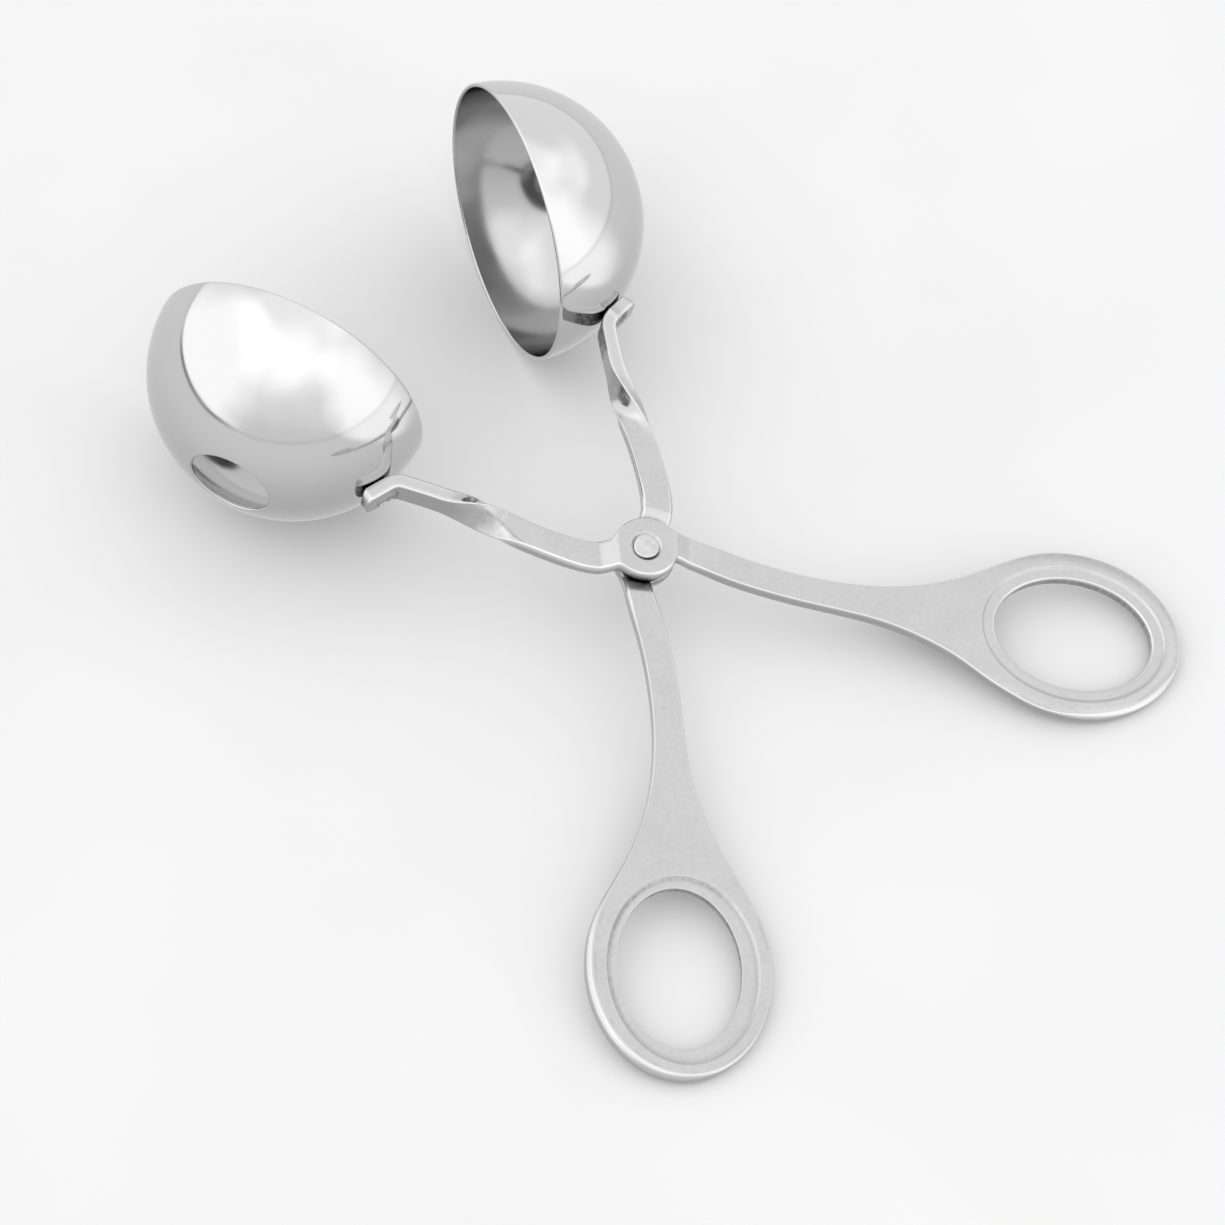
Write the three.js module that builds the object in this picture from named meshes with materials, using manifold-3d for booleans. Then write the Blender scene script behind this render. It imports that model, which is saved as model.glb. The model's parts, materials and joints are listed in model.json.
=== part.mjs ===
// Meatball tongs: two identical formed steel arms crossed on one rivet, with a sheet-steel half bowl
// welded to the jaw of each arm. The second arm is the first one turned over, so that the two bosses lap.
// Millimetres, +Z up. The tongs lie half open on a table, on both bowls and both finger rings.
import * as THREE from 'three';
import { mergeVertices } from 'three/addons/utils/BufferGeometryUtils.js';
import Module from 'manifold-3d';

const { degToRad, clamp, inverseLerp, lerp, smoothstep } = THREE.MathUtils;

// Driving dimensions
const BOWL_RADIUS = 25;
const BOWL_SHEET = 0.7;
const BOWL_CENTRE = new THREE.Vector2(67.4, -0.4); // from the rivet, in the frame of the arm
const VENT_RADIUS = 7.25;
const RIM_SETBACK = 0.15; // rim plane to the line where the two rims would meet
const OPENING = degToRad(43.5); // angle between the arms as they lie

const STOCK = 2.5; // thickness of the arms
const STRIP_WIDTH = 4.85;
const EDGE_BREAK = 0.4; // tumbled edges of the stock

const RING_CENTRE = new THREE.Vector2(-72.1, -22.65);
const RING_TURN = degToRad(18.9);
const FINGER_HOLE = new THREE.Vector2(13.9, 10.4); // half axes
const RING_BAND = 5.15;
const LAND_WIDTH = 2.2; // coined land round the finger hole
const LAND_DEPTH = 0.25;

const BOSS_RADIUS = 5.45;
const LAP_GAP = 0.3; // between the lapped bosses
const LAP_FLAT = 5; // distance from the rivet where the joggle starts
const LAP_END = 8.1; // and where it is back in the plane of the arm
const JAW_FLARE = 0.45; // extra width of the jaw where it leaves the boss
const FLARE_START = 7;
const FLARE_END = 14;

const TWIST_START = 20.5; // distances towards the bowl
const TWIST_END = 31.5;
const JAW_END = new THREE.Vector2(38.5, 8.95); // last point of the jaw before the bend
const JAW_END_ANGLE = degToRad(11);
const TAB_ANGLE = degToRad(61);
const BEND_RADIUS = 2.4; // on the centre line
const TAB_REACH = 3.5; // past the point where the tab touches the bowl
const TAB_CORNER = 1.3;
const WELD_GAP = 0.3;

const SHANK_RADIUS = 1.7;
const SHANK_GAP = 0.2;
const RIVET_HEAD_RADIUS = 2.5;
const RIVET_HEAD_HEIGHT = 0.65;
const RIVET_CROWN_RADIUS = 1.8;
const RIVET_SEAT_GAP = 0.1;

const ROUND_SEGMENTS = 40;
const SAME_POINT = 1e-4; // points closer than this are one

// Lengths that follow from them
const BOSS_LIFT = (STOCK + LAP_GAP) / 2;
const BOSS_TOP = BOSS_LIFT + STOCK / 2;
const RING_OUTER = FINGER_HOLE.clone().addScalar(RING_BAND);
const LAND = FINGER_HOLE.clone().addScalar(LAND_WIDTH);

const satinSteel = new THREE.MeshStandardMaterial({ color: 0xc9cac9, roughness: 0.34, metalness: 1 });
const mirrorSteel = new THREE.MeshStandardMaterial({ color: 0xdcdddd, roughness: 0.08, metalness: 1 });
const rivetSteel = new THREE.MeshStandardMaterial({ color: 0xd2d3d2, roughness: 0.26, metalness: 1 });

const wasm = await Module();
wasm.setup();

// A closed geometry as a solid, and back
function solidOf(geometry) {
  geometry.deleteAttribute('normal');
  geometry.deleteAttribute('uv');
  const merged = mergeVertices(geometry, SAME_POINT);
  const mesh = new wasm.Mesh({
    numProp: 3,
    vertProperties: merged.attributes.position.array,
    triVerts: new Uint32Array(merged.index.array),
  });
  return new wasm.Manifold(mesh);
}

function geometryOf(solid) {
  const mesh = solid.getMesh();
  const geometry = new THREE.BufferGeometry();
  geometry.setAttribute('position', new THREE.BufferAttribute(mesh.vertProperties, 3));
  geometry.setIndex(new THREE.BufferAttribute(mesh.triVerts, 1));
  geometry.computeVertexNormals();
  return geometry;
}

// Part of an ellipse that lies turned with the finger ring, as outline points
function ringArc(halfAxes, from, to, count) {
  const { x, y } = RING_CENTRE;
  return new THREE.EllipseCurve(x, y, halfAxes.x, halfAxes.y, from, to, false, RING_TURN).getPoints(count);
}

// A flat slab of an outline, centred on a height
function slab(points, thickness, height, edge) {
  const geometry = new THREE.ExtrudeGeometry(new THREE.Shape(points), {
    depth: thickness - 2 * edge,
    bevelEnabled: edge > 0,
    bevelThickness: edge,
    bevelSize: edge,
    bevelOffset: -edge,
    bevelSegments: 1,
  });
  geometry.translate(0, 0, height - thickness / 2 + edge);
  return solidOf(geometry);
}

// Finger ring and handle: the ring's outer ellipse runs out into two long curves that close in to the neck
function ringAndHandle() {
  const innerEdge = [[-7.8, -1.4], [-14, -1.95], [-22, -3.27], [-30, -5.22], [-38, -7.36], [-44, -8.46],
    [-50, -8.78], [-56, -8.46], [-62, -7.4]];
  const outerEdge = [[-53, -25.7], [-48, -20.5], [-42, -16.05], [-36, -12.85], [-30, -10.5], [-22, -8.3],
    [-14, -6.88], [-7.8, -6.24]];
  const arcFrom = degToRad(62);
  const arcTo = degToRad(302);
  const arc = ringArc(RING_OUTER, arcFrom, arcTo, ROUND_SEGMENTS);
  const edgePoints = 20;
  const toVectors = (list) => list.map(([x, y]) => new THREE.Vector2(x, y));
  const toRing = new THREE.SplineCurve([...toVectors(innerEdge), arc[0]]);
  const toNeck = new THREE.SplineCurve([arc.at(-1), ...toVectors(outerEdge)]);
  const intoRing = toRing.getPoints(edgePoints).slice(0, -1);
  const outOfRing = toNeck.getPoints(edgePoints).slice(1);
  const outline = [...intoRing, ...arc, ...outOfRing];
  const fullTurn = 2 * Math.PI;
  const hole = ringArc(FINGER_HOLE, 0, fullTurn, ROUND_SEGMENTS).slice(1);
  const land = ringArc(LAND, 0, fullTurn, ROUND_SEGMENTS).slice(1);
  const landHeight = STOCK / 2;
  return slab(outline, STOCK, 0, EDGE_BREAK)
    .subtract(slab(land, 2 * LAND_DEPTH, landHeight, 0))
    .subtract(slab(land, 2 * LAND_DEPTH, -landHeight, 0))
    .subtract(slab(hole, 2 * STOCK, 0, 0));
}

// Centre line of the strip in the plane of the arm: from the neck past the rivet to the end of the tab.
// The tab runs along the bowl's wall, and the bend rounds the corner between it and the jaw.
function stripLine() {
  const along = (angle) => new THREE.Vector2(Math.cos(angle), Math.sin(angle));
  const jaw = along(JAW_END_ANGLE);
  const tab = along(TAB_ANGLE);
  const outwards = along(TAB_ANGLE + Math.PI / 2);
  const touch = outwards.clone().multiplyScalar(BOWL_RADIUS + WELD_GAP + STOCK / 2).add(BOWL_CENTRE);
  const toTouch = touch.clone().sub(JAW_END);
  const corner = jaw.clone().multiplyScalar(toTouch.dot(outwards) / jaw.dot(outwards)).add(JAW_END);
  const setback = BEND_RADIUS * Math.tan((TAB_ANGLE - JAW_END_ANGLE) / 2);
  const bendStart = corner.clone().addScaledVector(jaw, -setback);
  const tabEnd = touch.clone().addScaledVector(tab, TAB_REACH);
  const bendCentre = along(JAW_END_ANGLE + Math.PI / 2).multiplyScalar(BEND_RADIUS).add(bendStart);
  const neck = new THREE.Vector2(-12, -4.2);
  const pastRivet = [[-7.6, -3.75], [-3.6, -2.8], [3.2, 2.5], [6.45, 4.9], [12, 6.45], [22, 7.45], [32, 8]];
  const line = new THREE.Path();
  line.moveTo(neck.x, neck.y);
  line.splineThru([...pastRivet.map(([x, y]) => new THREE.Vector2(x, y)), JAW_END, bendStart]);
  line.absarc(bendCentre.x, bendCentre.y, BEND_RADIUS,
    JAW_END_ANGLE - Math.PI / 2, TAB_ANGLE - Math.PI / 2, false);
  line.lineTo(tabEnd.x, tabEnd.y);
  return line;
}

// The strip is a straight bar with broken edges, formed along the centre line: joggled up at the boss,
// a little wider where the jaw leaves it, turned a quarter about itself in the twist, and rounded at the
// corners of the tab.
function formedStrip() {
  const steps = 72;
  const fitIn = 0.02; // the bar enters the neck just inside its faces
  const halfWidth = STRIP_WIDTH / 2 - fitIn;
  const halfStock = STOCK / 2 - fitIn;
  const flatWidth = halfWidth - EDGE_BREAK;
  const flatStock = halfStock - EDGE_BREAK;
  const section = new THREE.Shape([[flatWidth, -halfStock], [halfWidth, -flatStock], [halfWidth, flatStock],
    [flatWidth, halfStock], [-flatWidth, halfStock], [-halfWidth, flatStock], [-halfWidth, -flatStock],
    [-flatWidth, -halfStock]].map(([x, y]) => new THREE.Vector2(x, y)));
  const bar = new THREE.ExtrudeGeometry(section, { depth: 1, steps, bevelEnabled: false });
  const line = stripLine();
  const length = line.getLength();
  const up = new THREE.Vector3(0, 0, 1);
  const position = bar.attributes.position;
  for (let i = 0; i < position.count; i += 1) {
    const t = position.getZ(i);
    const point = line.getPoint(t);
    const tangent = line.getTangent(t);
    const side = new THREE.Vector3(-tangent.y, tangent.x, 0);
    const roll = (Math.PI / 2) * smoothstep(point.x, TWIST_START, TWIST_END);
    const lift = BOSS_LIFT * (1 - clamp(inverseLerp(LAP_FLAT, LAP_END, point.length()), 0, 1));
    const intoCorner = Math.max(0, TAB_CORNER - (1 - t) * length);
    const cornerInset = TAB_CORNER - Math.sqrt(TAB_CORNER ** 2 - intoCorner ** 2);
    const flaring = smoothstep(point.x, 0, LAP_FLAT) * (1 - smoothstep(point.x, FLARE_START, FLARE_END));
    const widening = (JAW_FLARE / 2) * flaring - cornerInset;
    const across = position.getX(i) + Math.sign(position.getX(i)) * widening;
    const through = position.getY(i);
    const formed = new THREE.Vector3(point.x, point.y, lift)
      .addScaledVector(side, across * Math.cos(roll) + through * Math.sin(roll))
      .addScaledVector(up, through * Math.cos(roll) - across * Math.sin(roll));
    position.setXYZ(i, formed.x, formed.y, formed.z);
  }
  return solidOf(bar);
}

// A turned piece about the Z axis from a profile of [radius, height] points
function turned(profile, segments) {
  const points = profile.map(([radius, height]) => new THREE.Vector2(radius, height));
  return new THREE.LatheGeometry(points, segments).rotateX(Math.PI / 2);
}

function pivotBoss() {
  const foot = BOSS_LIFT - STOCK / 2;
  const flat = BOSS_RADIUS - EDGE_BREAK;
  return solidOf(turned([[0, foot], [flat, foot], [BOSS_RADIUS, foot + EDGE_BREAK],
    [BOSS_RADIUS, BOSS_TOP - EDGE_BREAK], [flat, BOSS_TOP], [0, BOSS_TOP]], ROUND_SEGMENTS));
}

function rivetBore() {
  const radius = SHANK_RADIUS + SHANK_GAP;
  const past = 2 * BOSS_TOP;
  return solidOf(turned([[0, -past], [radius, -past], [radius, past], [0, past]], ROUND_SEGMENTS));
}

function armGeometry() {
  const arm = ringAndHandle().add(formedStrip()).add(pivotBoss()).subtract(rivetBore());
  return geometryOf(arm);
}

// Half bowl: a shell between two concentric arcs from the rim to the vent at the pole, about the Y axis
function bowlGeometry() {
  const arcPoints = 12;
  const arc = (radius) => {
    const fromVent = Math.asin(VENT_RADIUS / radius);
    const toRim = Math.acos((RIM_SETBACK - BOWL_CENTRE.y) / radius);
    const fractions = Array.from({ length: arcPoints + 1 }, (_, i) => i / arcPoints);
    const angles = fractions.map((fraction) => lerp(fromVent, toRim, fraction));
    return angles.map((angle) => new THREE.Vector2(radius * Math.sin(angle), radius * Math.cos(angle)));
  };
  const outside = arc(BOWL_RADIUS).reverse();
  const inside = arc(BOWL_RADIUS - BOWL_SHEET);
  return new THREE.LatheGeometry([...outside, ...inside, outside[0].clone()], ROUND_SEGMENTS);
}

// Rivet: a shank between the peened button on top and the formed head below
function rivetGeometry() {
  const seat = BOSS_TOP + RIVET_SEAT_GAP;
  const shoulder = seat + RIVET_HEAD_HEIGHT / 2;
  const crown = seat + RIVET_HEAD_HEIGHT;
  const half = [[SHANK_RADIUS, seat], [RIVET_HEAD_RADIUS, seat], [RIVET_HEAD_RADIUS, shoulder],
    [RIVET_CROWN_RADIUS, crown], [0, crown]];
  const below = half.map(([radius, height]) => [radius, -height]).reverse();
  return turned([...below, ...half], ROUND_SEGMENTS);
}

function piece(name, geometry, material) {
  const mesh = new THREE.Mesh(geometry, material);
  mesh.name = name;
  return mesh;
}

// One side of the tongs: an arm with its bowl
function side(armName, bowlName) {
  const group = new THREE.Group();
  const bowl = piece(bowlName, bowlGeometry(), mirrorSteel);
  bowl.position.set(BOWL_CENTRE.x, BOWL_CENTRE.y, 0);
  group.add(piece(armName, armGeometry(), satinSteel), bowl);
  return group;
}

const upperSide = side('upper_arm', 'left_bowl');
upperSide.rotation.z = OPENING / 2;

const turnedOver = side('lower_arm', 'right_bowl');
turnedOver.rotation.x = Math.PI;
const lowerSide = new THREE.Group();
lowerSide.rotation.z = -OPENING / 2;
lowerSide.add(turnedOver);

// Lying on the table, the tongs tip about Y until the bowls and the far edges of the rings touch it together
const rivetAxis = new THREE.Vector2();
const bowlAhead = BOWL_CENTRE.clone().rotateAround(rivetAxis, OPENING / 2);
const ringBack = RING_CENTRE.clone().rotateAround(rivetAxis, OPENING / 2);
const ringLean = RING_TURN + OPENING / 2;
const ringHalfLength = Math.hypot(RING_OUTER.x * Math.cos(ringLean), RING_OUTER.y * Math.sin(ringLean));
const span = bowlAhead.x - ringBack.x + ringHalfLength;
const tilt = Math.asin(BOWL_RADIUS / Math.hypot(span, STOCK / 2)) - Math.atan2(STOCK / 2, span);

const tongs = new THREE.Group();
tongs.rotation.y = -tilt;
tongs.add(upperSide, lowerSide, piece('pivot_rivet', rivetGeometry(), rivetSteel));

// The origin is under the middle of the tongs, on the table
const assembly = new THREE.Group();
assembly.add(tongs);
assembly.updateMatrixWorld(true);
const extent = new THREE.Box3().setFromObject(assembly, true);
const middle = extent.getCenter(new THREE.Vector3());
tongs.position.set(-middle.x, -middle.y, -extent.min.z);

export default assembly;
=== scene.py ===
import json
import math

import bpy
import numpy as np
from mathutils import Matrix


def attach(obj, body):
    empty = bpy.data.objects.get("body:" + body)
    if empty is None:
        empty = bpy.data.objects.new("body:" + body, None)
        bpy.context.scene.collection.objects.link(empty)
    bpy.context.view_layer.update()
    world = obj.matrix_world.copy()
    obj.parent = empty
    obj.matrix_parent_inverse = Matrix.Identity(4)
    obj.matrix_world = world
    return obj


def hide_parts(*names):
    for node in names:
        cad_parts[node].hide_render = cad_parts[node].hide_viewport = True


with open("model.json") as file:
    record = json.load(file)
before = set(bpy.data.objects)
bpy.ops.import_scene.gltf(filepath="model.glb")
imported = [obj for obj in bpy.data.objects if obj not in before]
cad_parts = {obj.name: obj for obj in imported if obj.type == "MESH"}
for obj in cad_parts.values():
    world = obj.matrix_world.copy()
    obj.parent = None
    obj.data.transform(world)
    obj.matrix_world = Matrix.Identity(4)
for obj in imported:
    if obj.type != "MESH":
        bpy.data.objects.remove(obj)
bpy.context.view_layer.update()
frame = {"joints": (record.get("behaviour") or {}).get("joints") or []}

# Arms: two identical stampings of stainless strip, each a finger ring that runs through a slim handle and
# a joggled pivot boss into a jaw, which is twisted a quarter turn and bent to a welding tab.
# They are tumbled to a soft satin, and the lower one is the same stamping turned over.
MM = 0.001  # the tongs' sizes are in mm from the rivet, and the frame is in metres
STOCK = 2.5
EDGE_UPPER = (0.30, 0.66, 0.30)  # radius of the die-rolled edges on the ring, the boss and the tab
EDGE_CHANGES = ((-14.0, -3.0), (17.0, 30.0))  # x between which one becomes the next
EDGE_LOWER = (0.28, 1.35)  # radius on the other face: as sheared, and on the ring's outer side, rubbed down
END_EDGE = 1.1  # radius of the upper edge at the ring's end, which is rubbed down too
END_BEARING = math.radians(143)
END_SPREAD = (0.72, 0.98)  # cosine of the angle from that bearing, where the rubbing starts and is full
RING_RUB = (-66.0, -48.0)  # x between which the rubbing ends
LAP_EDGE = 0.7  # radius round the lapped faces, to clear the other arm's joggle
LAP_SPAN = ((-14.0, -8.0), (8.0, 14.0))  # x between which it comes in and goes out
LIPS = (0.45, 0.12)  # radius round the finger hole, rolled in by the punch above and sharp below
LIP_WORN = 0.8  # how far the lip is rubbed bright
LAP_SHADE_RADII = ((5.3, 7.2), (6.3, 7.0))  # radii between which the painted shade beside the other arm's boss ends, by handle and by jaw
LAP_SIDES = (-2.0, 2.0)  # distance past the rivet where one becomes the other
LAP_PAINTED_SHADE = 0.62  # how much painted shade there is on the lapped faces, where the other boss's shadow falls
LAND_PAINTED_SHADE = (0.05, 0.62)  # painted shade in the step of the coined land, above and below
FOOT_PAINTED_SHADE = 0.22  # painted shade along the step's foot below
HOLE_PAINTED_SHADE = 0.36  # painted shade on the punched wall of the finger hole
HAND_FILM = 0.17  # real film in smudges along the ring's edge
CREASE_PAINTED_SHADE = 0.4  # painted shade along the crease of the twist
DENT_PAINTED_SHADE = 0.5  # painted shade round the slope of the electrode's mark
CREASE_SHADE_WIDTH = 0.14  # half width of the painted shade along the crease
CREASE_SPAN = ((17.0, 20.0), (26.0, 28.0))  # x between which it comes in and goes out
BOWL_REFLECTION_SHADE = ((27.0, 30.0, 0.3), (36.8, 38.2, 0.62))  # painted dark reflection of the bowl's shaded underside on the jaw's face to the bowl: from x, full at x, share added
FACE_SHARE = 0.01  # share of the stock's thickness that counts as its face
LAP_GAP = 0.3  # between the two bosses
BOSS_LIFT = (STOCK + LAP_GAP) / 2
BOSS_RADIUS = 5.45
BOSS_FILLET = 1.2  # softness of the corner between the boss and the strip
RIVET_BORE = 1.9
SINK_RADIUS = 2.68  # dish under the rivet's head
SINK_FLOOR = 2.42  # radius at its floor
SINK_DEPTH = 0.24
SINK_BREAK = (0.12, 0.02)  # how far the dish's edge is broken, outwards and down
SINK_FILLET = (0.06, 0.04)  # and its lower corner filled, outwards and up
BORE_LEDGE = 0.4  # ring of the lower face round the bore
BORE_CLEARING = 3.3  # half the square round the bore that is drawn as rings
JAW_RAMP = (math.radians(32), 4.5, 8.1)  # direction from the rivet, and where the joggle starts and ends
HANDLE_RAMP = (math.radians(204), 5.0, 7.9)
FOLD_SOFTNESS = 0.22
# Middle line of the strip and half its width, from the rivet, +x to the bowl: handle, boss and jaw
SPINE = [
    (-47.8, -13.82, 5.33), (-44.65, -12.75, 4.33), (-41.6, -11.7, 3.6), (-38.55, -10.65, 3.1),
    (-35.5, -9.6, 2.79), (-32.5, -8.62, 2.61), (-26.5, -6.86, 2.48), (-20.5, -5.47, 2.45),
    (-14.5, -4.48, 2.45), (-8.5, -3.85, 2.43), (-3.6, -2.7, 2.43), (3.2, 2.45, 2.6),
    (6.45, 4.9, 2.65), (12, 6.45, 2.5), (22, 7.45, 2.43), (32, 8, 2.43), (38.5, 8.95, 2.43),
]
RING_CUT = -45.6  # the ring's surface ends and the strip's begins here
RING_CENTRE = np.array([-72.1, -22.65])
RING_TURN = math.radians(18.9)
FINGER_HOLE = np.array([13.9, 10.4])  # half axes
RING_BAND = 5.15  # width of the metal round it
RING_OUTER = FINGER_HOLE + RING_BAND
RING_ARC = (math.radians(62), math.radians(302))  # the part of the outline that is an ellipse
RING_SHOULDER = [(-50, -8.78), (-56, -8.46), (-62, -7.4)]  # leads from the handle to it
RING_THROAT = [(-53, -25.7), (-48, -20.5)]  # and back
LAND_WIDTH = 2.2  # coined land round the finger hole
LAND_DEPTH = 0.28
LAND_STEP = 0.72  # width of the slope down to it
RING_CROWN = 0.3  # fall of the upper face from the land to the outer edge at the ring's end
LAND_SLIP = np.array([-0.45, 0.55])  # the lower die's land is a little off the upper one's
FACE_ROWS = np.concatenate([[0, 0.05], np.linspace(0.12, 1, 9)])  # from the ring's edge to the land's brink
STEP_ROWS = np.linspace(0, 1, 11)[1:]  # down the step
LAND_ROWS = (0.05, 0.12, 0.4, 0.7, 1)  # over the land
LIP_ROWS = 6  # and round the finger hole's edge
RING_SIDES = 320  # points along the ring's outline
RING_ARC_POINTS = 49  # guide it round the end,
RAIL_STATIONS = 6  # and this many sections of the strip guide it into the handle
SMUDGE_ROWS = np.array([0.3, 1, 1, 0.5])[:, None]  # share of a smudge on the rows next to the ring's edge
STEP_SPILL = 2  # rows of the land that the step's film reaches
FOOT_ROWS = 4
STEP_BAND = (0.15, math.pi - 0.15)  # film across the step goes as the sine between these
JAW_END_ANGLE = math.radians(11)
TAB_ANGLE = math.radians(61)
BEND_RADIUS = 3.2
TAB_REACH = 3.5
TAB_CORNER = 1.2
TAB_SHEAR = 1.2  # radius that the shears leave on the tab's end, towards the bowl
WELD_GAP = 0.1
BOWL_CENTRE = np.array([67.4, -0.4])
BOWL_RADIUS = 25.0
CREASE_WALK = (18.0, 28.5, 1.9, -1.6)  # the crease crosses the strip between these x and these offsets
LEG_TURN = (16.0, 35.5)  # the leg outside the crease turns a quarter between these x
HEEL_TURN = (23.5, 35.0)  # and the leg inside it between these
CREASE_SOFTNESS = 0.15
UNDERSIDE_SOFTNESS = 2.6
DENT_RADIUS = 2.5  # left on the tab by the welding electrode, which sat low
DENT_DEPTH = 0.3
DENT_STEP = 0.35  # width of its slope
DENT_PLACE = (4.6, 0.7)  # from the end of the tab, and down from its middle
SPINE_STEPS = (4000, 200, 400)  # fine points along the spline, the bend and the tab
STATION_PITCH = (0.7, 0.16)  # from section to section along the handle, and from the boss on
PITCH_CHANGE = (-14.0, -9.0)  # x between which it changes
END_ROWS = 6  # sections round the tab's end
END_ROOM = 0.05  # least step before them

hinge = frame["joints"][0]
rivet_place = np.array(hinge["pos_m"])
hinge_axis = np.array(hinge["axis"])
half_opening = math.radians(-hinge["range_deg"][0]) / 2
table_lean = np.column_stack([np.cross([0, 1, 0], hinge_axis), [0, 1, 0], hinge_axis])


def placed(points, turned_over):
    """Points of one side of the tongs, in mm from the rivet, in the frame of the whole: turned over about x
    for the lower side, opened by half the opening about the rivet, leant on the table and carried to it."""
    side = -1 if turned_over else 1
    over = np.diag([1.0, side, side])
    c, s = math.cos(half_opening), side * math.sin(half_opening)
    opened = np.array([[c, -s, 0], [s, c, 0], [0, 0, 1.0]])
    return points @ (table_lean @ opened @ over).T * MM + rivet_place


def smooth_step(value, start, end):
    """0 before start, 1 after end, and 3t^2 - 2t^3 between them."""
    t = np.clip((value - start) / (end - start), 0, 1)
    return t * t * (3 - 2 * t)


def soft_ramp(value, softness):
    """0 below zero and the value above it, on a hyperbola: half of the value plus its soft length."""
    return (value + np.hypot(value, softness)) / 2


def direction(angle):
    """Unit vector at an angle from x."""
    return np.array([math.cos(angle), math.sin(angle)])


def spline(points, at):
    """Natural cubic spline by chord length, at fractions of its length: the bends at the points solve a
    three-band system, and each span is the cubic that has those bends at its ends."""
    points = np.asarray(points, float)
    chords = np.linalg.norm(np.diff(points[:, :2], axis=0), axis=1)
    knots = np.concatenate([[0], np.cumsum(chords)])
    slopes = np.diff(points, axis=0) / chords[:, None]
    inner = np.arange(1, len(points) - 1)
    bands = np.eye(len(points))
    bands[inner, inner - 1] = chords[:-1]
    bands[inner, inner] = 2 * (chords[:-1] + chords[1:])
    bands[inner, inner + 1] = chords[1:]
    load = np.zeros_like(points)
    load[1:-1] = 6 * np.diff(slopes, axis=0)
    bends = np.linalg.solve(bands, load)
    where = np.asarray(at) * knots[-1]
    span = np.clip(np.searchsorted(knots, where) - 1, 0, len(chords) - 1)
    t = (where - knots[span])[:, None]
    h = chords[span][:, None]
    b0, b1 = bends[span], bends[span + 1]
    setting_out = slopes[span] - h * (2 * b0 + b1) / 6
    return points[span] + t * setting_out + t**2 * b0 / 2 + t**3 * (b1 - b0) / (6 * h)


def run_along(points):
    """Length so far along a line of points."""
    return np.concatenate([[0], np.cumsum(np.linalg.norm(np.diff(points, axis=0), axis=1))])


def arm_spine():
    """Stations along the strip as x, y and half width, and how far each is from the end: the spline of the
    handle and jaw, the arc of the bend and the straight tab, closer together where the strip is formed."""
    jaw_end = np.array(SPINE[-1][:2])
    half_width = SPINE[-1][2]
    outwards = direction(TAB_ANGLE + math.pi / 2)
    touch = BOWL_CENTRE + outwards * (BOWL_RADIUS + WELD_GAP + STOCK / 2)
    jaw, tab = direction(JAW_END_ANGLE), direction(TAB_ANGLE)
    corner = jaw_end + jaw * ((touch - jaw_end) @ outwards) / (jaw @ outwards)
    bend_start = corner - jaw * BEND_RADIUS * math.tan((TAB_ANGLE - JAW_END_ANGLE) / 2)
    bend_centre = bend_start + direction(JAW_END_ANGLE + math.pi / 2) * BEND_RADIUS
    tab_end = touch + tab * TAB_REACH
    spline_steps, bend_steps, tab_steps = SPINE_STEPS
    drawn = spline([*SPINE, (*bend_start, half_width)], np.linspace(0, 1, spline_steps))
    turns = np.linspace(JAW_END_ANGLE, TAB_ANGLE, bend_steps)[1:] - math.pi / 2
    bend = bend_centre + BEND_RADIUS * np.column_stack([np.cos(turns), np.sin(turns)])
    straight = bend[-1] + np.linspace(0, 1, tab_steps)[1:, None] * (tab_end - bend[-1])
    end = np.concatenate([bend, straight])
    end = np.column_stack([end, np.full(len(end), half_width)])
    path = np.concatenate([drawn[drawn[:, 0] > RING_CUT], end])
    run = run_along(path[:, :2])
    coarse, fine = STATION_PITCH
    pitch = coarse + (fine - coarse) * smooth_step(path[:, 0], *PITCH_CHANGE)
    count_so_far = np.concatenate([[0], np.cumsum(np.diff(run) / pitch[1:])])
    at = np.interp(np.arange(int(count_so_far[-1])), count_so_far, run)
    last = np.arange(1, END_ROWS + 1) / END_ROWS * math.pi / 2
    ending = run[-1] - EDGE_LOWER[0] * (1 - np.sin(last))
    at = np.concatenate([at[at < ending[0] - END_ROOM], ending])
    stations = np.column_stack([np.interp(at, run, path[:, k]) for k in range(3)])
    into_corner = np.maximum(0, TAB_CORNER - (run[-1] - at))
    stations[:, 2] -= TAB_CORNER - np.sqrt(TAB_CORNER**2 - into_corner**2)
    return stations, run[-1] - at


ACROSS = np.concatenate([[0], np.linspace(0.035, 0.965, 38), [1]])  # over a face, from edge to edge
ROUND_OFF = np.radians(np.arange(75, -1, -15))  # angles down a rounded edge
WALL_DROP = np.array([0.25, 0.5, 0.75])  # shares of the way down a wall
SIDE_POINTS = 2 * len(ROUND_OFF) + len(WALL_DROP)
# How bright rubbing has left the round under the upper face, the wall, and the round over the lower face
SIDE_WORN = np.repeat([1.0, 0.2, 0.6], [len(ROUND_OFF), len(WALL_DROP), len(ROUND_OFF)])


def rolled_edge(upper, lower):
    """Inset and height of the wall from one face to the other, for edge radii that change along it: a quarter
    round under the upper face, a straight wall, and a quarter round over the lower face."""
    upper, lower = upper[:, None], lower[:, None]
    round_in = 1 - np.cos(ROUND_OFF)
    round_down = 1 - np.sin(ROUND_OFF)
    wall = (STOCK / 2 - upper) * (1 - WALL_DROP) - (STOCK / 2 - lower) * WALL_DROP
    inset = np.concatenate([upper * round_in, 0 * wall, lower * round_in[::-1]], axis=1)
    height = [STOCK / 2 - upper * round_down, wall, lower * round_down[::-1] - STOCK / 2]
    return inset, np.concatenate(height, axis=1)


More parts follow.
